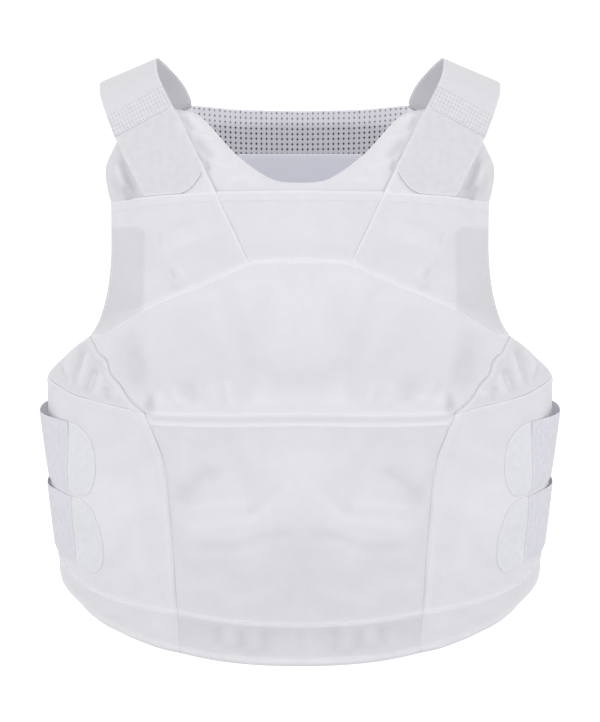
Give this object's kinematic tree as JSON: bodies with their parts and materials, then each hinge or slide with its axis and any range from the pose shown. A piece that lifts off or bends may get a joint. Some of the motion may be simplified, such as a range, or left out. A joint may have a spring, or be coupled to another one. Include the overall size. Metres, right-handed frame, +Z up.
{
  "type": "concealable bulletproof vest",
  "caption": "White concealable soft-armour vest: padded front and back panels joined by shoulder straps and elastic side straps with hook tabs, arched chest pocket, gathered armpit gussets.",
  "frame": {"origin": "midway between the undersides of the two shoulder straps, where the wearer's shoulders carry the vest", "axes": "+Z up along the wearer's spine, -Y out of the vest's front, +X towards the wearer's left"},
  "size_m": [0.3952, 0.243, 0.4415],
  "materials": {
    "carrier_cloth": "fine white plain-woven cotton blend, matt, softly wrinkled",
    "gusset_cloth": "thin white cloth gathered into soft folds",
    "strap_cloth": "white woven strap cloth with stitched edges",
    "elastic_webbing": "white ribbed elastic webbing, matt",
    "tab_cloth": "white hook-fastener tab with a brushed loop face and a stitched edge",
    "mesh_lining": "pale bluish spacer mesh with rows of small round holes",
    "label_satin": "plain pale satin label, nothing printed on it"
  },
  "bodies": {
    "root": {"front_panel": "carrier_cloth", "yoke_centre": "carrier_cloth", "yoke_left": "carrier_cloth", "yoke_right": "carrier_cloth", "strap_landing_left": "carrier_cloth", "strap_landing_right": "carrier_cloth", "chest_pocket": "carrier_cloth", "waist_band": "carrier_cloth", "lower_flap": "carrier_cloth", "side_wing_left": "carrier_cloth", "side_wing_right": "carrier_cloth", "hem_band_centre": "carrier_cloth", "hem_band_left": "carrier_cloth", "hem_band_right": "carrier_cloth", "side_gusset_left": "gusset_cloth", "side_gusset_right": "gusset_cloth", "back_panel": "carrier_cloth", "back_lining": "mesh_lining", "neck_label": "label_satin", "shoulder_tab_left": "tab_cloth", "shoulder_tab_right": "tab_cloth", "shoulder_elastic_left": "elastic_webbing", "shoulder_elastic_right": "elastic_webbing", "shoulder_strap_left": "strap_cloth", "shoulder_strap_right": "strap_cloth", "strap_end_left": "strap_cloth", "strap_end_right": "strap_cloth", "upper_side_strap_left": "elastic_webbing", "upper_side_strap_right": "elastic_webbing", "upper_side_tab_left": "tab_cloth", "upper_side_tab_right": "tab_cloth", "lower_side_strap_left": "elastic_webbing", "lower_side_strap_right": "elastic_webbing", "lower_side_tab_left": "tab_cloth", "lower_side_tab_right": "tab_cloth"}
  },
  "joints": []
}
